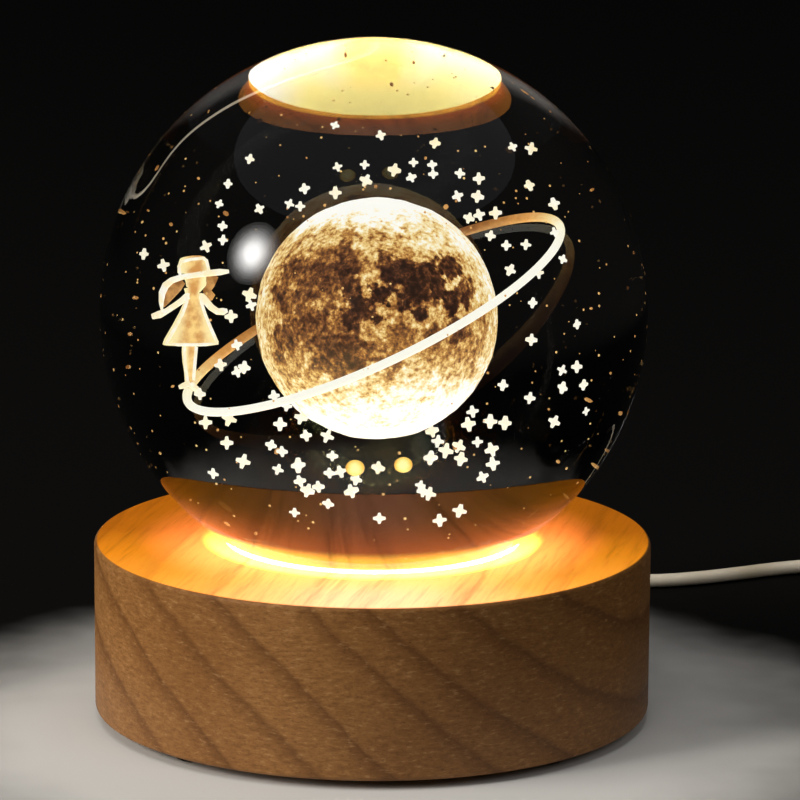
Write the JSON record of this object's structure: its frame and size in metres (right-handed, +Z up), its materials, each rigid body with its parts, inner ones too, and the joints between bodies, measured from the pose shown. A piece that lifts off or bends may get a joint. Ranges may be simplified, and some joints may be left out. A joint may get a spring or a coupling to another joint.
{
  "type": "crystal ball lamp",
  "caption": "Glass ball night light: a solid clear ball seated on a round wooden base with an LED module inside, on a USB lead with a rocker switch.",
  "frame": {"origin": "under the middle of the base, on the surface that its foot pads stand on", "axes": "+Z up through the ball, +Y towards the back, where the lead leaves the base, +X to the right as seen from the front"},
  "size_m": [0.1521, 0.1245, 0.1004],
  "materials": {
    "crystal": "polished clear glass",
    "engraving": "laser-engraved glass, frosted and lit from below",
    "beech": "fine-sanded light wood, oiled",
    "black_rubber": "matt",
    "black_plastic": "matt moulded",
    "black_strap": "woven hook-and-loop strap",
    "steel": "zinc-plated",
    "nickel": "nickel-plated sheet",
    "brass": "plain sheet",
    "gold": "gold-plated",
    "white_plastic": "matt moulded",
    "frosted_plastic": "frosted, lit from behind",
    "white_board": "white solder mask",
    "led": "yellow phosphor",
    "cream_cord": "smooth PVC jacket",
    "cream_plastic": "moulded, slight gloss",
    "red_wire": "PVC insulation",
    "black_wire": "PVC insulation"
  },
  "bodies": {
    "base": {"wooden_base": "beech", "foot_pad_1": "black_rubber", "foot_pad_2": "black_rubber", "foot_pad_3": "black_rubber", "foot_pad_4": "black_rubber", "bottom_cover": "black_plastic", "cover_screw_1": "steel", "cover_screw_2": "steel", "cover_screw_3": "steel", "cover_screw_4": "steel", "lamp_cup": "white_plastic", "cup_screw_1": "steel", "cup_screw_2": "steel", "cup_screw_3": "steel", "light_window": "frosted_plastic", "led_board": "white_board", "board_screw_1": "steel", "board_screw_2": "steel", "led_1": "led", "led_2": "led", "led_3": "led", "led_4": "led", "led_5": "led", "led_6": "led", "cable_bush": "black_rubber", "inner_cord": "cream_cord", "red_wire": "red_wire", "black_wire": "black_wire", "cord_clamp": "white_plastic", "clamp_screw_1": "steel", "clamp_screw_2": "steel", "cord_to_switch": "cream_cord", "cord_to_coil": "cream_cord", "cord_coil": "cream_cord", "cord_to_plug": "cream_cord", "cord_tie": "black_strap", "switch_lower_shell": "cream_plastic", "switch_upper_shell": "cream_plastic", "switch_screw_1": "steel", "switch_screw_2": "steel", "switch_contact_in": "brass", "switch_contact_out": "brass", "switch_relief_in": "cream_plastic", "switch_relief_out": "cream_plastic", "switch_wire_in": "red_wire", "switch_wire_out": "red_wire", "switch_wire_through": "black_wire", "plug_body": "cream_plastic", "plug_shell": "nickel", "plug_tongue": "white_plastic", "plug_contact_1": "gold", "plug_contact_2": "gold", "plug_contact_3": "gold", "plug_contact_4": "gold"},
    "ball": {"crystal_ball": "crystal", "engraved_moon": "engraving", "engraved_ring": "engraving"},
    "rocker": {"switch_rocker": "cream_plastic", "rocker_pin": "steel", "switch_bridge": "brass"}
  },
  "joints": [
    {"name": "ball_lift", "type": "slide", "parent": "base", "child": "ball", "axis": [0, 0, 1], "range_m": [0, 0.06]},
    {"name": "rocker_hinge", "type": "hinge", "parent": "base", "child": "rocker", "pos_m": [0.086, 0.043, 0.0072], "axis": [-1, 0, 0], "range_deg": [0, 20]}
  ]
}
